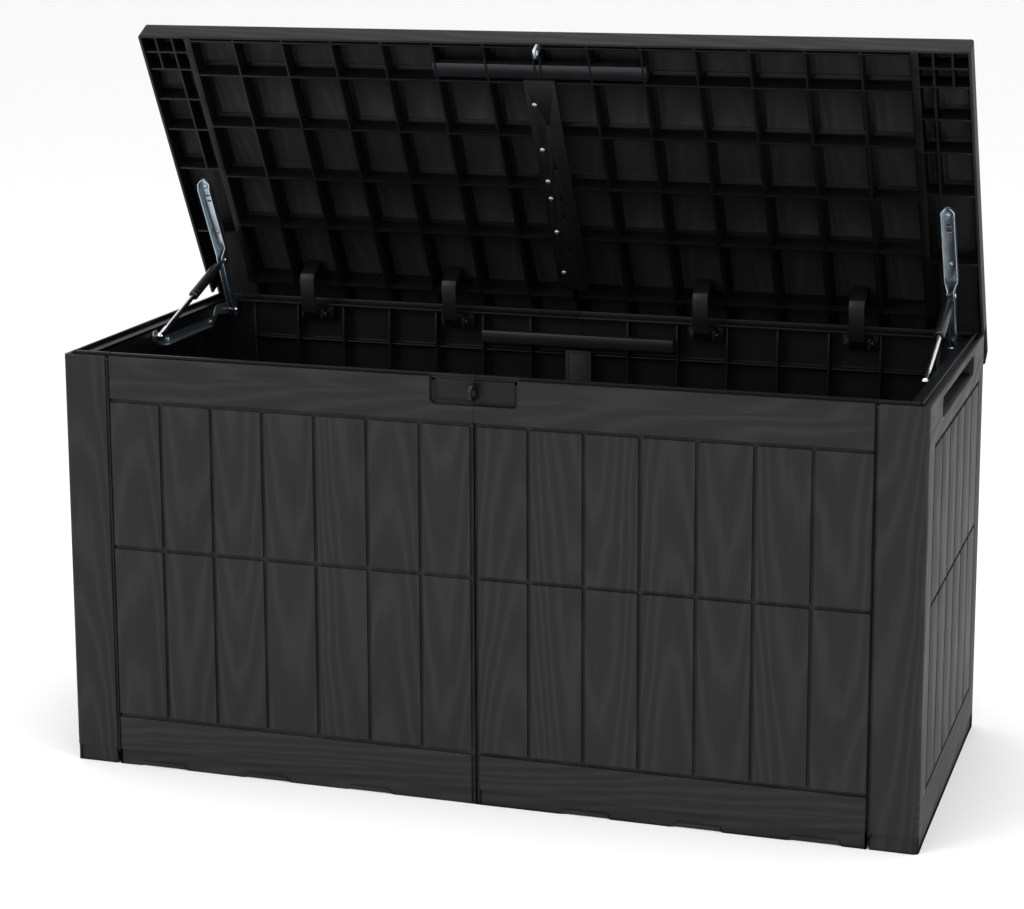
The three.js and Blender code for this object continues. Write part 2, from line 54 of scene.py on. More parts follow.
def makeActive(piece):
    bpy.ops.object.select_all(action="DESELECT")
    piece.select_set(True)
    bpy.context.view_layer.objects.active = piece


def addBlock(low, high):
    # a cube between two opposite corners
    bpy.ops.object.select_all(action="DESELECT")
    bpy.ops.mesh.primitive_cube_add(size=1, location=[(a + b) / 2 for a, b in zip(low, high)])
    piece = bpy.context.object
    piece.scale = [abs(b - a) for a, b in zip(low, high)]
    bpy.ops.object.transform_apply(location=True, rotation=True, scale=True)
    return piece


def startEdit(piece, kind):
    makeActive(piece)
    bpy.ops.object.mode_set(mode="EDIT")
    bpy.ops.mesh.select_mode(type=kind)
    bpy.ops.mesh.select_all(action="DESELECT")
    return bmesh.from_edit_mesh(piece.data)


def endEdit():
    bpy.ops.object.mode_set(mode="OBJECT")


def pickFaces(piece, test):
    # leaves the piece in edit mode with the faces that pass the test selected
    shape = startEdit(piece, "FACE")
    for face in shape.faces:
        if test(face.calc_center_median(), face.normal):
            face.select_set(True)
    bmesh.update_edit_mesh(piece.data)


def pickEdges(piece, test):
    shape = startEdit(piece, "EDGE")
    for edge in shape.edges:
        a, b = (corner.co for corner in edge.verts)
        if test((a + b) / 2, (b - a).normalized()):
            edge.select_set(True)
    bmesh.update_edit_mesh(piece.data)


def cutAcross(piece, axis, places):
    # loops right round the piece at these places along an axis
    startEdit(piece, "FACE")
    normal = [float(i == axis) for i in range(3)]
    for place in sorted(set(places)):
        bpy.ops.mesh.select_all(action="SELECT")
        bpy.ops.mesh.bisect(plane_co=[place * n for n in normal], plane_no=normal)
    endEdit()


def pushFaces(piece, test, move):
    pickFaces(piece, test)
    bpy.ops.mesh.extrude_region_move(TRANSFORM_OT_translate={"value": move})
    endEdit()


def sinkFaces(piece, test, depth):
    pickFaces(piece, test)
    bpy.ops.mesh.extrude_region_shrink_fatten(TRANSFORM_OT_shrink_fatten={"value": -depth})
    endEdit()


def moveFaces(piece, test, move):
    pickFaces(piece, test)
    bpy.ops.transform.translate(value=move)
    endEdit()


def roundEdges(piece, test, radius, segments):
    pickEdges(piece, test)
    bpy.ops.mesh.bevel(offset=radius, segments=segments, affect="EDGES")
    endEdit()


def joinPieces(pieces):
    makeActive(pieces[0])
    for piece in pieces[1:]:
        piece.select_set(True)
    bpy.ops.object.join()
    return pieces[0]


def applyModifier(piece, kind, **settings):
    makeActive(piece)
    modifier = piece.modifiers.new(kind.lower(), kind)
    for key, value in settings.items():
        setattr(modifier, key, value)
    bpy.ops.object.modifier_apply(modifier=modifier.name)


def softenEdges(piece, width, segments=2, angle=40):
    settings = {"width": width, "segments": segments, "limit_method": "ANGLE"}
    applyModifier(piece, "BEVEL", angle_limit=math.radians(angle), **settings)
    makeActive(piece)
    bpy.ops.object.shade_smooth_by_angle(angle=math.radians(32))


def cutWith(piece, cutter):
    applyModifier(piece, "BOOLEAN", object=cutter, operation="DIFFERENCE", solver="EXACT")
    bpy.data.objects.remove(cutter)


def turnShape(steps, sides=28):
    # a round solid standing on z, from [height, radius] steps
    height, radius = steps[0]
    bpy.ops.object.select_all(action="DESELECT")
    place = (0, 0, height)
    bpy.ops.mesh.primitive_circle_add(vertices=sides, radius=radius, fill_type="NGON", location=place)
    piece = bpy.context.object
    bpy.ops.object.transform_apply(location=True)
    bpy.ops.object.mode_set(mode="EDIT")
    bpy.ops.mesh.select_mode(type="FACE")
    bpy.ops.mesh.select_all(action="SELECT")
    for nextHeight, nextRadius in steps[1:]:
        bpy.ops.mesh.extrude_region_move(TRANSFORM_OT_translate={"value": (0, 0, nextHeight - height)})
        growth = nextRadius / radius
        bpy.ops.transform.resize(value=(growth, growth, growth), center_override=(0, 0, nextHeight))
        height, radius = nextHeight, nextRadius
    bpy.ops.mesh.select_all(action="SELECT")
    bpy.ops.mesh.normals_make_consistent(inside=False)
    endEdit()
    return piece


def between(value, low, high):
    return low < value < high


def inBands(value, bands):
    return any(low < value < high for low, high in bands)


def bandsAt(middles, width):
    return [(middle - width / 2, middle + width / 2) for middle in middles]


def edgesOf(bands):
    return [edge for band in bands for edge in band]


def fitPiece(piece, name, body, node, slot, *materials):
    piece.name = name
    piece.data.name = name
    piece.data.materials.clear()
    for material in materials:
        piece.data.materials.append(material)
    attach(piece, body)
    if node:
        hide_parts(node)
    return piece


# finishes

class Value:
    # a number that varies over a surface, so that arithmetic on it adds Math nodes
    def __init__(self, finish, socket):
        self.finish = finish
        self.socket = socket

    def work(self, operation, *values):
        return self.finish.add("ShaderNodeMath", {"operation": operation}, dict(enumerate(values)))

    def __add__(self, other):
        return self.work("ADD", self, other)

    def __radd__(self, other):
        return self.work("ADD", other, self)

    def __sub__(self, other):
        return self.work("SUBTRACT", self, other)

    def __rsub__(self, other):
        return self.work("SUBTRACT", other, self)

    def __mul__(self, other):
        return self.work("MULTIPLY", self, other)

    def __rmul__(self, other):
        return self.work("MULTIPLY", other, self)

    def __truediv__(self, other):
        return self.work("DIVIDE", self, other)

    def __gt__(self, other):
        return self.work("GREATER_THAN", self, other)

    def __lt__(self, other):
        return self.work("LESS_THAN", self, other)

    def __abs__(self):
        return self.work("ABSOLUTE", self)

    def whole(self):
        return self.work("FLOOR", self)

    def wave(self):
        return self.work("SINE", self)

    def largest(self, other):
        return self.work("MAXIMUM", self, other)

    def power(self, other):
        return self.work("POWER", self, other)

    def pick(self, low, high):
        # low where this is 0, high where it is 1
        return low + (high - low) * self


class Finish:
    def __init__(self, name, roughness, metallic):
        self.material = bpy.data.materials.new(name)
        self.material.use_nodes = True
        self.tree = self.material.node_tree
        self.shader = next(node for node in self.tree.nodes if node.type == "BSDF_PRINCIPLED")
        self.shader.inputs["Roughness"].default_value = roughness
        self.shader.inputs["Metallic"].default_value = metallic

    def add(self, kind, settings, values, output=0):
        node = self.tree.nodes.new(kind)
        for key, value in settings.items():
            if key == "stops":
                for stop, (place, shade) in zip(node.color_ramp.elements, value):
                    stop.position = place
                    stop.color = (shade, shade, shade, 1)
            else:
                setattr(node, key, value)
        for key, value in values.items():
            self.feed(node.inputs[key], value)
        return Value(self, node.outputs[output])

    def feed(self, socket, value):
        if isinstance(value, Value):
            self.tree.links.new(value.socket, socket)
        else:
            socket.default_value = value

    def place(self, turn=0, centre=(0, 0, 0)):
        # x, y and z of a point, turned back about an axis along x through centre
        point = self.add("ShaderNodeTexCoord", {}, {}, "Object")
        if turn:
            fromCentre = Matrix.Translation([-c for c in centre])
            back = Matrix.Translation(centre) @ Matrix.Rotation(turn, 4, "X") @ fromCentre
            values = {"Vector": point, "Location": back.translation, "Rotation": (turn, 0, 0)}
            point = self.add("ShaderNodeMapping", {}, values)
        return [self.add("ShaderNodeSeparateXYZ", {}, {0: point}, i) for i in range(3)]

    def join(self, x, y, z):
        return self.add("ShaderNodeCombineXYZ", {}, {0: x, 1: y, 2: z})

    def noise(self, point, scale, detail=3, roughness=0.5):
        settings = {"Vector": point, "Scale": scale, "Detail": detail, "Roughness": roughness}
        return self.add("ShaderNodeTexNoise", {}, settings)

    def ramp(self, value, *stops):
        return self.add("ShaderNodeValToRGB", {"stops": stops}, {0: value})

    def blend(self, amount, low, high):
        colours = {0: amount, 6: (*low, 1), 7: (*high, 1)}
        return self.add("ShaderNodeMix", {"data_type": "RGBA"}, colours, 2)

    def relief(self, height, depth):
        # bumps of this real depth, in metres
        values = {"Height": height, "Distance": depth, "Strength": 1.0}
        return self.add("ShaderNodeBump", {}, values, "Normal")

    def paint(self, colour=None, roughness=None, normal=None):
        for key, value in {"Base Color": colour, "Roughness": roughness, "Normal": normal}.items():
            if value is not None:
                self.feed(self.shader.inputs[key], value)
        return self.material


grain = {
    "pitch": 0.535 / 7,
    "arch": 5.0,        # how strongly the figure arches across a plank
    "climb": 5.5,       # rings per metre along a plank
    "wander": 1.1,
    "rings": 3.4,
    "depth": 0.0007,
    "light": (0.0150, 0.0150, 0.0162),
    "dark": (0.0072, 0.0072, 0.0080),
    # inside: painted shade, a darker tone for the inner faces of the walls and the lid's underside
    "inside": (0.0022, 0.0022, 0.0025),
    "gloss": 0.22,
}


def boardChance(finish, board, seed):
    # a number from 0 to 1 for each board
    place = finish.join(board, seed, 0)
    return finish.add("ShaderNodeTexWhiteNoise", {"noise_dimensions": "2D"}, {"Vector": place})


def woodFigure(finish, across, along, shift):
    # the embossed figure of sawn boards, across and along given in metres;
    # 0 in the hollows, 1 on the ridges
    board = (across / grain["pitch"]).whole()
    chance = boardChance(finish, board, shift)
    lean = boardChance(finish, board, shift + 7)
    middle = across / grain["pitch"] - board - chance.pick(0.1, 0.9)
    drift = finish.noise(finish.join(across * 9, along * 1.5, chance * 30), 1.0, 4, 0.55)
    fibre = finish.noise(finish.join(across * 420, along * 11, chance * 9), 1.0, 3, 0.6)
    way = (lean > 0.5).pick(-1, 1)
    field = middle * middle * grain["arch"] + along * way * grain["climb"] + drift * grain["wander"] * 4
    ring = (field * (grain["rings"] * 2)).wave() * 0.5 + 0.5
    streak = finish.noise(finish.join(across * 75, along * 2.2, chance * 5 + 3), 1.0, 3, 0.6)
    return ring.power(2.4), fibre, streak


def resinFinish(finish, outside, across, along, shift=0.0):
    ring, fibre, streak = woodFigure(finish, across, along, shift)
    cloud = finish.noise(finish.add("ShaderNodeTexCoord", {}, {}, "Object"), 5.0, 4, 0.6)
    pebble = finish.noise(finish.add("ShaderNodeTexCoord", {}, {}, "Object"), 900.0, 2, 0.5)
    shade = finish.ramp(ring * 0.42 + streak * 0.5 + cloud * 0.35 + fibre * 0.25, (0.35, 0.0), (1.15, 1.0))
    grained = finish.blend(shade, grain["dark"], grain["light"])
    # faces that are not outside take the darker inside colour in place of the grain: painted shade
    colours = {0: outside, 6: (*grain["inside"], 1), 7: grained}
    colour = finish.add("ShaderNodeMix", {"data_type": "RGBA"}, colours, 2)
    height = (ring * 0.34 + fibre * 0.38 + streak * 0.55) * outside + pebble * 0.03
    roughness = outside.pick(0.42, 0.6) + (cloud - 0.5) * 0.12 - ring * outside * 0.07
    finish.shader.inputs["Specular IOR Level"].default_value = grain["gloss"]
    return finish.paint(colour, roughness, finish.relief(height, grain["depth"]))


def wallFinish():
    finish = Finish("charcoalResinWalls", 0.6, 0.0)
    x, y, z = finish.place()
    onEnd = abs(x) > 0.6002
    onLong = abs(y) > 0.2572
    # faces outside this mask are painted darker: painted shade on the inside of the box
    outside = onEnd.largest(onLong)
    level = (z > 0.532).largest(z < 0.073)
    post = (abs(x) > 0.5373) * (1 - onEnd)
    level = level * (1 - post)
    flat = x + (y - x) * onEnd
    across = flat + (z - 0.037 - flat) * level
    along = z + (flat - z) * level
    return resinFinish(finish, outside, across, along)


hinge = joints["lid_hinge"]
axis = Vector(hinge["pos_m"])
openAngle = math.radians(max(hinge["range_deg"]))
openLid = Matrix.Translation(axis) @ Matrix.Rotation(-openAngle, 4, "X") @ Matrix.Translation(-axis)


def lidFinish():
    finish = Finish("charcoalResinLid", 0.6, 0.0)
    x, y, z = finish.place(openAngle, axis)
    onTop = z > 0.6245
    onFront = (y < -0.2642).largest(y > 0.2682)
    onEnd = abs(x) > 0.6032
    skirt = onFront.largest(onEnd)
    # faces outside this mask are painted darker: painted shade on the lid's underside
    outside = onTop.largest(skirt)
    flat = x + (y - x) * onEnd
    side = (1 - onTop) * skirt
    across = x + (z - x) * side
    along = y + (flat - y) * side
    return resinFinish(finish, outside, across, along, 3.0)


def smoothResin(name, colour, roughness):
    finish = Finish(name, roughness, 0.0)
    point = finish.add("ShaderNodeTexCoord", {}, {}, "Object")
    cloud = finish.noise(point, 9.0, 4, 0.6)
    pebble = finish.noise(point, 700.0, 2, 0.5)
    shade = finish.blend(cloud, [c * 0.75 for c in colour], [c * 1.3 for c in colour])
    finish.shader.inputs["Specular IOR Level"].default_value = 0.25
    return finish.paint(shade, (cloud - 0.5) * 0.16 + roughness, finish.relief(pebble, 0.00004))


def platedSteel(name, colour, roughness, spread):
    finish = Finish(name, roughness, 1.0)
    point = finish.add("ShaderNodeTexCoord", {}, {}, "Object")
    cloud = finish.noise(point, 60.0, 5, 0.65)
    x, y, z = finish.place()
    rolled = finish.noise(finish.join(x * 900, y * 40, z * 40), 1.0, 2, 0.5)
    tint = finish.blend(cloud, [c * (1 - spread) for c in colour], colour)
    uneven = (cloud - 0.5) * 0.2 + rolled * 0.08 + roughness
    return finish.paint(tint, uneven, finish.relief(cloud + rolled * 0.4, 0.00003))


def paintedSteel(name, colour, roughness):
    finish = Finish(name, roughness, 0.0)
    point = finish.add("ShaderNodeTexCoord", {}, {}, "Object")
    peel = finish.noise(point, 350.0, 3, 0.5)
    cloud = finish.noise(point, 20.0, 3, 0.6)
    shade = finish.blend(cloud, colour, [c * 1.35 for c in colour])
    return finish.paint(shade, (cloud - 0.5) * 0.1 + roughness, finish.relief(peel, 0.00005))


wallResin = wallFinish()
lidResin = lidFinish()
darkResin = smoothResin("smoothBlackResin", (0.0042, 0.0042, 0.0047), 0.42)
floorResin = smoothResin("floorResin", (0.0035, 0.0035, 0.004), 0.5)
blackSteel = paintedSteel("blackPaintedSteel", (0.006, 0.006, 0.007), 0.3)
zinc = platedSteel("brightZinc", (0.60, 0.70, 0.76), 0.3, 0.45)
polished = platedSteel("polishedRod", (0.82, 0.85, 0.88), 0.12, 0.12)
print("finishes made")


# walls

wall = {
    "halfWidth": 0.605,
    "halfDepth": 0.262,
    "skin": 0.006,
    "top": 0.594,
    "end": 0.5371,
    "postEnd": 0.5415,
    "field": 0.535,       # outer end of the planks
    "pitch": 0.535 / 7,
    "seam": 0.006,
    "levels": (0.073, 0.321, 0.532),
    "channel": 0.0056,
    "channelDepth": 0.0042,
    "rib": 0.003,
    "ribDepth": 0.020,
    "levelRibDepth": 0.014,
    "base": 0.022,
    "baseInset": 0.003,
    "feet": ((0, 0.121), (0.190, 0.274), (0.345, 0.431), (0.505, 0.602)),
    "notch": 0.007,
    "corner": 0.009,
    "edge": 0.0007,
}
rim = {"low": 0.588, "high": 0.592, "reach": 0.031, "ridge": (0.010, 0.014), "ridgeLow": 0.590, "ridgeHigh": 0.598}
latch = {"half": 0.062, "low": 0.557, "depth": 0.008, "corner": 0.008, "plate": 0.0012}
pocket = {"half": 0.150, "low": 0.556, "high": 0.584, "depth": 0.021, "corner": 0.010, "wall": 0.003}


def addRim(side, start, end, fromEdge=0.0015):
    # the flat flange and the raised ridge on it, along one long side
    def inward(distance):
        return side * (wall["halfDepth"] - distance)
    return [
        addBlock((start, inward(fromEdge), rim["low"]), (end, inward(rim["reach"]), rim["high"])),
        addBlock((start, inward(rim["ridge"][0]), rim["ridgeLow"]), (end, inward(rim["ridge"][1]), rim["ridgeHigh"])),
    ]


def liftFeet(piece, side, hand, spans):
    # raises the bottom between the feet
    for low, high in spans:
        moveFaces(piece, lambda c, n: n.z < -0.9 and c.z < 0.001 and between(hand * c.x, low, high),
                  (0, 0, wall["notch"]))


def wallHalf(side, hand):
    face = side * wall["halfDepth"]
    inner = face - side * wall["skin"]
    slab = addBlock((hand * 0.0002, face, 0), (hand * wall["end"], inner, wall["top"]))
    middles = [i * wall["pitch"] for i in range(1, 7)]
    channels = bandsAt(middles, wall["channel"]) + [(0, wall["seam"])]
    ribs = bandsAt(middles, wall["rib"])
    levelChannels = bandsAt(wall["levels"], wall["channel"])
    levelRibs = bandsAt(wall["levels"], wall["rib"])
    notches = [(a[1] + 0.008, b[0] - 0.004) for a, b in zip(wall["feet"], wall["feet"][1:])]
    feetEdges = [edge for foot in wall["feet"] for edge in foot if 0 < edge < 0.53]
    xCuts = edgesOf(channels) + edgesOf(ribs) + edgesOf(notches) + feetEdges + [wall["field"], 0.012]
    zCuts = edgesOf(levelChannels) + edgesOf(levelRibs) + [wall["base"], 0.030, 0.588]
    if side < 0:
        xCuts += [latch["half"], latch["half"] + 0.004]
        zCuts += [latch["low"], latch["low"] - 0.004]
    cutAcross(slab, 0, [hand * x for x in xCuts if x > 0.001])
    cutAcross(slab, 2, zCuts)

    def onFace(c, n):
        return n.y * side > 0.9 and abs(c.y - face) < 0.0005

    def onBack(c, n):
        return n.y * side < -0.9 and abs(c.y - inner) < 0.0005

    def isChannel(c, n):
        x = abs(c.x)
        if not onFace(c, n) or x > wall["field"] or c.z > levelChannels[2][1]:
            return False
        upright = c.z > wall["levels"][0] and inBands(x, channels)
        return inBands(c.z, levelChannels) or upright or x < wall["seam"]

    pushFaces(slab, lambda c, n: onBack(c, n) and inBands(abs(c.x), ribs) and between(c.z, 0.030, 0.588),
              (0, -side * wall["ribDepth"], 0))
    pushFaces(slab, lambda c, n: onBack(c, n) and inBands(c.z, levelRibs)
              and between(abs(c.x), 0.012, wall["field"]),
              (0, -side * wall["levelRibDepth"], 0))
    if side < 0:
        pushFaces(slab, lambda c, n: onBack(c, n) and abs(c.x) < latch["half"] + 0.004
                  and c.z > latch["low"] - 0.004,
                  (0, 0.006, 0))
        cutWith(slab, addBlock((-hand * 0.005, face - 0.005, latch["low"]),
                               (hand * latch["half"], face + latch["depth"], wall["top"] + 0.005)))
        roundEdges(slab, lambda m, d: abs(d.y) > 0.9 and abs(abs(m.x) - latch["half"]) < 0.0005
                   and abs(m.z - latch["low"]) < 0.0005 and m.y < face + latch["depth"], latch["corner"], 5)
    pushFaces(slab, isChannel, (0, -side * wall["channelDepth"], 0))
    pushFaces(slab, lambda c, n: onFace(c, n) and abs(c.x) > wall["field"], (0, -side * 0.003, 0))
    pushFaces(slab, lambda c, n: n.y * side > 0.9 and c.z < wall["base"] and abs(c.y - face) < 0.0035,
              (0, -side * wall["baseInset"], 0))
    liftFeet(slab, side, hand, notches)
    pieces = [slab]
    if side < 0:
        floor = face + latch["depth"]
        pieces += addRim(side, hand * latch["half"], hand * wall["end"])
        pieces += addRim(side, hand * 0.0002, hand * (latch["half"] + 0.001), latch["depth"])
        pieces.append(addBlock((hand * 0.0002, floor + 0.001, latch["low"] + 0.006),
                               (hand * (latch["half"] - 0.006), floor - latch["plate"], 0.591)))
    else:
        pieces += addRim(side, hand * 0.0002, hand * wall["end"])
    panel = joinPieces(pieces)
    softenEdges(panel, wall["edge"])
    return panel


def sidePanel(hand):
    outer = wall["halfWidth"]
    inner = outer - wall["skin"]
    half = wall["halfDepth"]
    slab = addBlock((hand * inner, -half, 0), (hand * outer, half, wall["top"]))
    cutAcross(slab, 1, (-half + wall["skin"], half - wall["skin"]))
    pushFaces(slab, lambda c, n: n.x * hand < -0.9 and abs(c.y) > half - wall["skin"],
              (-hand * (inner - wall["postEnd"]), 0, 0))
    roundEdges(slab, lambda m, d: abs(d.z) > 0.9 and abs(m.x) > outer - 0.001 and abs(m.y) > half - 0.001,
               wall["corner"], 5)
    lines = [i * 0.070 for i in range(-3, 4)]
    channels = bandsAt(lines, wall["channel"])
    ribs = bandsAt(lines[1:-1], wall["rib"])
    levelChannels = bandsAt(wall["levels"], wall["channel"])
    levelRibs = bandsAt(wall["levels"], wall["rib"])
    fieldEnd = lines[-1] + wall["channel"] / 2
    pocketEdges = [pocket["half"], pocket["half"] + pocket["wall"]]
    pocketLevels = [pocket["low"] - pocket["wall"], pocket["low"],
                    pocket["high"], pocket["high"] + pocket["wall"]]
    cutAcross(slab, 1, edgesOf(channels) + edgesOf(ribs) + pocketEdges + [-edge for edge in pocketEdges])
    cutAcross(slab, 2, edgesOf(levelChannels) + edgesOf(levelRibs) + pocketLevels + [wall["base"], 0.030])

    def onFace(c, n):
        return n.x * hand > 0.9 and abs(abs(c.x) - outer) < 0.0005

    def onBack(c, n):
        return n.x * hand < -0.9 and abs(abs(c.x) - inner) < 0.0005

    def isChannel(c, n):
        if not onFace(c, n) or abs(c.y) > fieldEnd:
            return False
        upright = between(c.z, levelChannels[0][0], levelChannels[2][1]) and inBands(c.y, channels)
        return inBands(c.z, levelChannels) or upright

    pushFaces(slab, lambda c, n: onBack(c, n) and abs(c.y) < pocketEdges[1]
              and between(c.z, pocketLevels[0], pocketLevels[3]),
              (-hand * (pocket["depth"] + pocket["wall"] - wall["skin"]), 0, 0))
    pushFaces(slab, lambda c, n: onBack(c, n) and inBands(c.y, ribs) and between(c.z, 0.030, pocketLevels[0]),
              (-hand * wall["ribDepth"], 0, 0))
    pushFaces(slab, lambda c, n: onBack(c, n) and inBands(c.z, levelRibs) and abs(c.y) < 0.21,
              (-hand * wall["levelRibDepth"], 0, 0))
    pushFaces(slab, lambda c, n: onFace(c, n) and abs(c.y) < pocket["half"]
              and between(c.z, pocket["low"], pocket["high"]),
              (-hand * pocket["depth"], 0, 0))
    roundEdges(slab, lambda m, d: abs(d.x) > 0.9 and abs(abs(m.y) - pocket["half"]) < 0.0005
               and between(m.z, pocket["low"] - 0.001, pocket["high"] + 0.001) and abs(m.x) > outer - pocket["depth"],
               pocket["corner"], 5)
    pushFaces(slab, isChannel, (-hand * wall["channelDepth"], 0, 0))

    def isBase(c, n):
        outward = n.x * hand > 0.2 or (abs(n.y) > 0.2 and abs(c.y) > half - 0.004)
        return outward and abs(n.z) < 0.1 and c.z < wall["base"]

    sinkFaces(slab, isBase, wall["baseInset"])
    pieces = [slab]
    for side in (-1, 1):
        face = side * half
        pieces.append(addBlock((hand * (wall["postEnd"] - 0.004), face - side * 0.003, 0.016),
                               (hand * (wall["postEnd"] + 0.003), face - side * 0.0075, 0.591)))
        pieces += addRim(side, hand * 0.5375, hand * 0.593)
    pieces.append(addBlock((hand * 0.6035, -0.260, 0.588), (hand * 0.5755, 0.260, 0.592)))
    pieces.append(addBlock((hand * 0.595, -0.252, 0.590), (hand * 0.591, 0.252, 0.598)))
    pieces.append(addBlock((hand * 0.5785, -0.231, 0.550), (hand * 0.5755, 0.231, 0.591)))
    panel = joinPieces(pieces)
    softenEdges(panel, wall["edge"])
    return panel


for hand, word in hands:
    fitPiece(wallHalf(-1, hand), f"frontPanel_{word}", "box", f"front_panel_{word}", "resin", wallResin)
    fitPiece(wallHalf(1, hand), f"backPanel_{word}", "box", f"back_panel_{word}", "resin", wallResin)
    fitPiece(sidePanel(hand), f"sidePanel_{word}", "box", f"side_panel_{word}", "resin", wallResin)
print("walls made")


# lid, shaped closed and then opened

lid = {
    "half": 0.607,
    "front": -0.268,
    "back": 0.272,
    "edge": 0.596,
    "top": 0.628,
    "skin": 0.004,
    "corner": 0.0036,
    "innerCorner": 0.001,
    "round": 0.0034,
    "pitch": 0.535 / 7,
    "ribTip": 0.5985,
    "ribBack": 0.190,
    "rib": 0.003,
    "cross": (-0.258, -0.199, -0.107, -0.015, 0.078, 0.1885),
    "field": 0.531,
    "fieldRib": 0.010,
    "bandCross": (-0.238, -0.208, -0.155, -0.100, -0.028, 0.092),
    "wallClear": 0.213,
    "shallow": 0.617,
    "channel": 0.0056,
    "channelDepth": 0.0026,
    "step": 0.007,
    "stepDepth": 0.0014,
    "edgeRadius": 0.0006,
}


def lidHalf(hand):
    under = lid["top"] - lid["skin"]
    slab = addBlock((hand * 0.0002, lid["front"], under), (hand * lid["half"], lid["back"], lid["top"]))
    wallX = lid["half"] - lid["skin"]
    wallFront = lid["front"] + lid["skin"]
    wallBack = lid["back"] - lid["skin"]
    cutAcross(slab, 0, [hand * wallX])
    cutAcross(slab, 1, [wallFront, wallBack])

    def isSkirt(c, n):
        return n.z < -0.9 and (abs(c.x) > wallX or c.y < wallFront or c.y > wallBack)

    pushFaces(slab, isSkirt, (0, 0, lid["edge"] - under))
    roundEdges(slab, lambda m, d: abs(d.z) > 0.9 and abs(m.x) > lid["half"] - 0.001
               and (m.y < lid["front"] + 0.001 or m.y > lid["back"] - 0.001), lid["corner"], 5)
    roundEdges(slab, lambda m, d: abs(d.z) > 0.9 and abs(abs(m.x) - wallX) < 0.001 and m.z < under
               and (abs(m.y - wallFront) < 0.001 or abs(m.y - wallBack) < 0.001), lid["innerCorner"], 3)

    def onRimOfTop(m, d):
        pastX = abs(m.x) - lid["half"] + lid["corner"]
        pastY = abs(m.y - 0.002) - 0.270 + lid["corner"]
        onArc = pastX > 0 and pastY > 0 and math.hypot(pastX, pastY) > lid["corner"] - 0.001
        onEdge = abs(m.x) > lid["half"] - 0.0005 or abs(m.y - 0.002) > 0.2695 or onArc
        return m.z > lid["top"] - 0.0002 and onEdge and abs(d.z) < 0.1

    roundEdges(slab, onRimOfTop, lid["round"], 4)
    middles = [i * lid["pitch"] for i in range(1, 7)]
    ribs = bandsAt(middles, lid["rib"]) + [(0.003, 0.006)] + bandsAt([lid["field"]], lid["fieldRib"])
    cross = bandsAt(lid["cross"], lid["rib"])
    bandCross = bandsAt(lid["bandCross"], lid["rib"])
    bandRibs = [(0.554, 0.557), (0.580, 0.583)]
    channels = bandsAt(middles, lid["channel"])
    cutAcross(slab, 0, [hand * x for x in edgesOf(ribs) + edgesOf(bandRibs) + edgesOf(channels)])
    ends = [lid["ribBack"], lid["wallClear"], lid["wallClear"] + 0.0005, -0.225, 0.225]
    cutAcross(slab, 1, edgesOf(cross) + edgesOf(bandCross) + ends)

    def onUnder(c, n):
        return n.z < -0.9 and abs(c.z - under) < 0.0002

    outerField = lid["field"] + lid["fieldRib"] / 2

    def isDeep(c, n):
        x = abs(c.x)
        if not onUnder(c, n):
            return False
        if x < outerField:
            return x > 0.003 and c.y < lid["ribBack"] and (inBands(x, ribs) or inBands(c.y, cross))
        if c.y > lid["bandCross"][-1] + lid["rib"] / 2:
            return False
        upright = between(x, 0.554, 0.557) and c.y < -0.028 or between(x, 0.580, 0.583) and c.y < -0.208
        return inBands(c.y, bandCross) or upright

    def isShallow(c, n):
        return onUnder(c, n) and c.y > lid["ribBack"] and inBands(abs(c.x), ribs)

    pushFaces(slab, isDeep, (0, 0, lid["ribTip"] - under))
    pushFaces(slab, isShallow, (0, 0, lid["shallow"] - under))
    pickFaces(slab, onUnder)
    bpy.ops.mesh.inset(thickness=lid["step"], depth=0)
    bpy.ops.mesh.extrude_region_move(TRANSFORM_OT_translate={"value": (0, 0, lid["stepDepth"])})
    endEdit()
    pushFaces(slab, lambda c, n: n.z > 0.9 and abs(c.z - lid["top"]) < 0.0002
              and inBands(abs(c.x), channels) and abs(c.y) < 0.225,
              (0, 0, -lid["channelDepth"]))
    moveFaces(slab, lambda c, n: n.z < -0.9 and c.z < lid["edge"] + 0.001 and abs(c.x) > wallX - 0.013
              and c.y > lid["wallClear"] + 0.0005 and c.y < wallBack - 0.010, (0, 0, lid["shallow"] - lid["edge"]))
    softenEdges(slab, lid["edgeRadius"])
    slab.data.transform(openLid)
    return slab


for hand, word in hands:
    fitPiece(lidHalf(hand), f"lidPanel_{word}", "lid", f"lid_panel_{word}", "resin", lidResin)
print("lid made")


# parts that keep their outline: edges are broken and the finish is added

def fromFrame(node, width, angle=40):
    source = frame["nodes"][node]
    piece = source.copy()
    piece.data = source.data.copy()
    for key in list(piece.keys()):
        del piece[key]
    bpy.context.scene.collection.objects.link(piece)
    piece.parent = None
    piece.hide_render = False
    makeActive(piece)
    bpy.ops.object.mode_set(mode="EDIT")
    bpy.ops.mesh.select_all(action="SELECT")
    bpy.ops.mesh.remove_doubles(threshold=0.00002)
    bpy.ops.mesh.dissolve_limited(angle_limit=math.radians(2))
    endEdit()
    softenEdges(piece, width, 2, angle)
    return piece


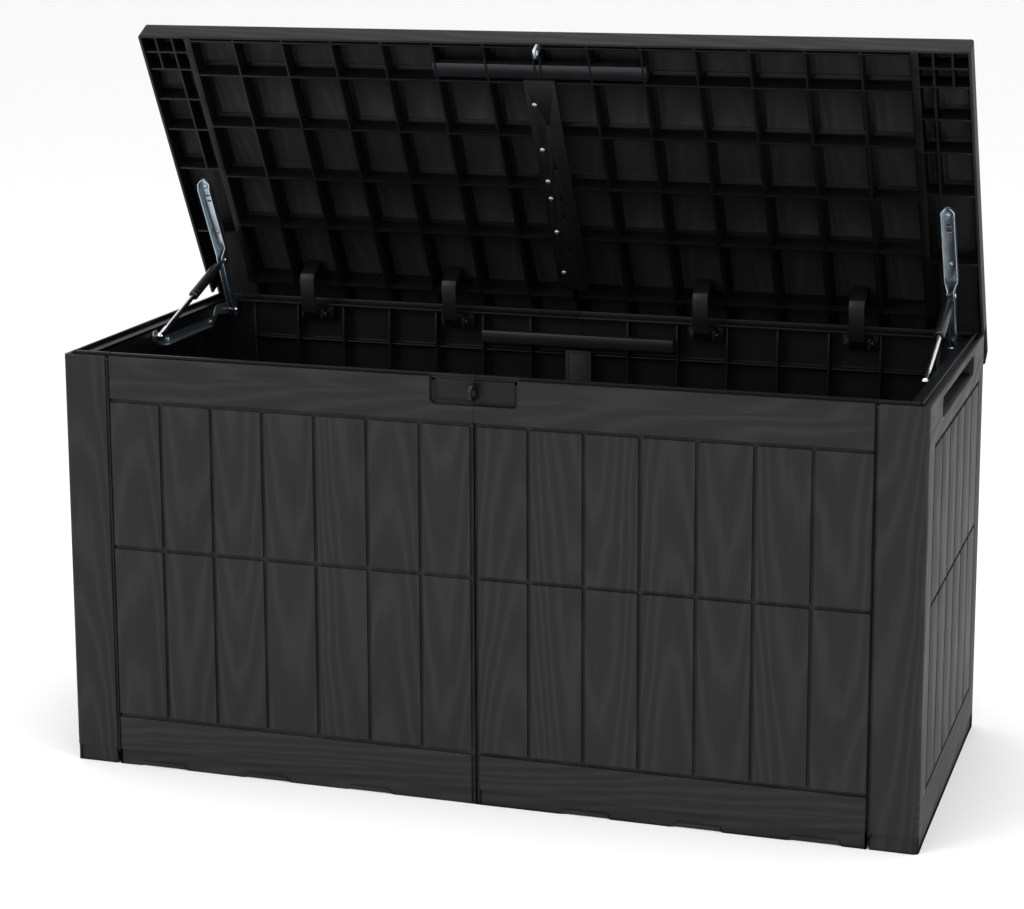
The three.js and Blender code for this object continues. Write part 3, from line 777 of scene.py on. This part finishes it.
kept = {
    "floor_joint_rail": ("box", "dark_resin", darkResin, 0.0008),
    "front_joint_cover": ("box", "dark_resin", darkResin, 0.0010),
    "back_joint_cover": ("box", "dark_resin", darkResin, 0.0010),
    "back_reinforcement_tube": ("box", "black_steel", blackSteel, 0.0006),
    "padlock_loop": ("box", "dark_resin", darkResin, 0.0009),
    "lid_joint_plate": ("lid", "dark_resin", darkResin, 0.0008),
    "lid_reinforcement_tube": ("lid", "black_steel", blackSteel, 0.0006),
    "lid_latch_tab": ("lid", "zinc", zinc, 0.0006),
}
for i in range(1, 5):
    kept[f"hinge_strap_{i}"] = ("lid", "dark_resin", darkResin, 0.0010)
    kept[f"hinge_bracket_{i}"] = ("box", "dark_resin", darkResin, 0.0007)
    kept[f"hinge_pin_{i}"] = ("box", "black_steel", blackSteel, 0.0004)
for word in ("left", "right"):
    kept[f"floor_panel_{word}"] = ("box", "dark_resin", floorResin, 0.0006)
    kept[f"lid_bracket_{word}"] = ("lid", "zinc", zinc, 0.0004)
    kept[f"wall_arm_{word}"] = ("box", "zinc", zinc, 0.0004)
for node, (body, slot, material, width) in kept.items():
    fitPiece(fromFrame(node, width), "fine_" + node, body, node, slot, material)
print("fittings made")


# screws, rivets and pins

def aim(piece, start, direction):
    # turns a piece that stands on z to stand at start along direction
    turn = Vector((0, 0, 1)).rotation_difference(Vector(direction)).to_matrix().to_4x4()
    piece.data.transform(Matrix.Translation(start) @ turn)


def copyOf(piece):
    twin = piece.copy()
    twin.data = piece.data.copy()
    bpy.context.scene.collection.objects.link(twin)
    return twin


screw = {"slot": 0.0009, "reach": 0.0024}
screwModel = turnShape([[-0.010, 0.0006], [-0.007, 0.0021], [0, 0.0021], [0.0001, 0.0036], [0.0010, 0.0036],
                        [0.0018, 0.0030], [0.0023, 0.0018], [0.0024, 0.0012]], 24)
for turn in (0, 1):
    reach = (screw["reach"], screw["slot"] / 2) if turn else (screw["slot"] / 2, screw["reach"])
    cutWith(screwModel, addBlock((-reach[0], -reach[1], 0.0013), (reach[0], reach[1], 0.0040)))
makeActive(screwModel)
bpy.ops.object.shade_smooth_by_angle(angle=math.radians(32))


def centreOf(node):
    low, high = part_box(node)
    return (low + high) / 2


lidDown = openLid.to_3x3() @ Vector((0, 0, -1))


def lidPoint(x, y, z):
    return openLid @ Vector((x, y, z))


for i, y in enumerate((-0.165, -0.087, -0.031, 0, 0.061, 0.137)):
    piece = copyOf(screwModel)
    aim(piece, lidPoint(-0.012, y, 0.5941 - 0.0002), lidDown)
    fitPiece(piece, f"plateScrew_{i + 1}", "lid", f"lid_joint_screw_{i + 1}", "zinc", zinc)
for hand, word in hands:
    for i, y in enumerate((0.004, 0.090)):
        piece = copyOf(screwModel)
        aim(piece, lidPoint(hand * 0.565, y, 0.5961 - 0.0003), lidDown)
        fitPiece(piece, f"bracketScrew_{word}_{i + 1}", "lid", f"lid_bracket_screw_{word}_{i + 1}", "zinc", zinc)
    for i, (y, z) in enumerate(((0.160, 0.5675), (0.008, 0.5675))):
        piece = copyOf(screwModel)
        piece.data.transform(Matrix.Diagonal((1, 1, 0.85, 1)))
        aim(piece, (hand * 0.5726, y, z), (-hand, 0, 0))
        node = f"wall_arm_screw_{word}_{i + 1}"
        fitPiece(piece, f"armScrew_{word}_{i + 1}", "box", node, "zinc", zinc)
bpy.data.objects.remove(screwModel)

rivet = [[0, 0.0015], [0.0002, 0.0032], [0.0012, 0.0043], [0.0021, 0.0043], [0.0022, 0.0024],
         [0.0149, 0.0024], [0.0152, 0.0021]]
pin = [[0, 0.0012], [0.0002, 0.0034], [0.0008, 0.0041], [0.0016, 0.0041], [0.0017, 0.0024], [0.0123, 0.0024],
       [0.0124, 0.0041], [0.0132, 0.0041], [0.0138, 0.0034], [0.0140, 0.0012]]
for hand, word in hands:
    piece = turnShape(rivet)
    aim(piece, (hand * 0.5578, axis.y, axis.z), (hand, 0, 0))
    softenEdges(piece, 0.0001)
    fitPiece(piece, f"axisRivet_{word}", "box", f"axis_rivet_{word}", "polished_steel", polished)
    piece = turnShape(pin)
    top = joints[f"stay_pivot_{word}"]["pos_m"]
    aim(piece, (top[0] - 0.007, top[1], top[2]), (1, 0, 0))
    softenEdges(piece, 0.0001)
    fitPiece(piece, f"stayPin_{word}", "lid", f"stay_pin_{word}", "polished_steel", polished)
print("screws and rivets made")


# gas stays

stay = {
    "length": 0.24073,
    "cylinder": [[0.008, 0.0020], [0.010, 0.0030], [0.022, 0.0030], [0.0222, 0.0052], [0.0245, 0.0072],
                 [0.027, 0.0075], [0.108, 0.0075], [0.1085, 0.0070], [0.111, 0.0070], [0.1115, 0.0075],
                 [0.1155, 0.0075], [0.118, 0.0060], [0.118, 0.0044], [0.1165, 0.0042]],
    "rod": [[0.102, 0.0034], [0.1024, 0.0039]],
    "eye": 0.0060,
    "stud": [[0, 0.0012], [0.0002, 0.0034], [0.0009, 0.0041], [0.0017, 0.0041], [0.0018, 0.0024],
             [0.0100, 0.0024], [0.0102, 0.0020]],
}


def addEye(at, thickness, radius, hole):
    # a flat eye across x
    discs = []
    for sides, size, depth in ((28, radius, thickness), (24, hole, thickness * 3)):
        bpy.ops.object.select_all(action="DESELECT")
        place = {"location": (0, 0, at), "rotation": (0, math.pi / 2, 0)}
        bpy.ops.mesh.primitive_cylinder_add(vertices=sides, radius=size, depth=depth, **place)
        bpy.ops.object.transform_apply(location=True, rotation=True)
        discs.append(bpy.context.object)
    cutWith(*discs)
    return discs[0]


for hand, word in hands:
    top = Vector(joints[f"stay_pivot_{word}"]["pos_m"])
    along = Vector(joints[f"stay_slide_{word}"]["axis"])
    tilt = Matrix.Rotation(math.atan2(-along.y, -along.z), 4, "X").inverted()
    place = Matrix.Translation(top) @ tilt

    body = turnShape(stay["cylinder"], 32)
    neck = addBlock((-0.0026, -0.0025, 0.003), (0.0026, 0.0025, 0.012))
    cylinder = joinPieces([body, addEye(0, 0.0052, stay["eye"], 0.0028), neck])
    softenEdges(cylinder, 0.0003)
    cylinder.data.transform(place)
    fitPiece(cylinder, f"gasCylinder_{word}", f"cylinder_{word}", f"gas_cylinder_{word}", "black_steel", blackSteel)

    length = stay["length"]
    shank = turnShape(stay["rod"] + [[length - 0.024, 0.0039], [length - 0.014, 0.0034]], 28)
    flat = addBlock((-0.0025, -0.0044, length - 0.024), (0.0025, 0.0044, length - 0.003))
    rod = joinPieces([shank, flat, addEye(length, 0.0050, stay["eye"], 0.0028)])
    softenEdges(rod, 0.0004)
    rod.data.transform(place)
    fitPiece(rod, f"gasRod_{word}", f"rod_{word}", f"gas_rod_{word}", "polished_steel", polished)

    stud = turnShape(stay["stud"])
    softenEdges(stud, 0.0001)
    aim(stud, top - along * length - Vector((hand * 0.0046, 0, 0)), (hand, 0, 0))
    fitPiece(stud, f"footStud_{word}", f"rod_{word}", f"foot_stud_{word}", "polished_steel", polished)
print("stays made")


# floor, light and camera

stage = {"size": 60.0, "tone": (0.94, 0.94, 0.94), "sky": 1.0}
view = {
    "place": (1.0476, -3.3453, 1.2699),
    "yaw": 0.3116,
    "pitch": 0.1857,
    "roll": -0.0037,
    "lens": 88.18,
    "shift": -0.12,
}
lamps = {
    "frontLeft": {"place": (-3.2, -4.2, 3.4), "size": 3.2, "power": 85, "aim": (0, 0, 0.4)},
    "right": {"place": (4.2, -1.6, 2.6), "size": 2.4, "power": 60, "aim": (0.3, 0, 0.4)},
    "top": {"place": (0.0, -0.6, 4.6), "size": 3.5, "power": 60, "aim": (0, 0, 0.4)},
}

bpy.ops.object.select_all(action="DESELECT")
bpy.ops.mesh.primitive_plane_add(size=stage["size"], location=(0, 0, -0.0002))
ground = bpy.context.object
ground.name = "ground"
paper = Finish("paleFloor", 0.8, 0.0)
ground.data.materials.append(paper.paint((*stage["tone"], 1)))

world = bpy.data.worlds.new("studio")
bpy.context.scene.world = world
world.use_nodes = True
sky = next(node for node in world.node_tree.nodes if node.type == "BACKGROUND")
sky.inputs["Color"].default_value = (1, 1, 1, 1)
sky.inputs["Strength"].default_value = stage["sky"]

for name, lamp in lamps.items():
    light = bpy.data.lights.new(name, "AREA")
    light.shape = "DISK"
    light.size = lamp["size"]
    light.energy = lamp["power"]
    holder = bpy.data.objects.new(name, light)
    bpy.context.scene.collection.objects.link(holder)
    holder.location = lamp["place"]
    holder.rotation_euler = (Vector(lamp["aim"]) - Vector(lamp["place"])).to_track_quat("-Z", "Y").to_euler()

bpy.context.scene.view_settings.view_transform = "Standard"
eye = bpy.data.cameras.new("camera")
eye.lens = view["lens"]
eye.shift_y = view["shift"]
camera = bpy.data.objects.new("camera", eye)
bpy.context.scene.collection.objects.link(camera)
camera.location = view["place"]
camera.rotation_euler = (Matrix.Rotation(view["yaw"], 4, "Z") @ Matrix.Rotation(math.pi / 2 - view["pitch"], 4, "X")
                         @ Matrix.Rotation(view["roll"], 4, "Z")).to_euler()
bpy.context.scene.camera = camera
print("stage set")
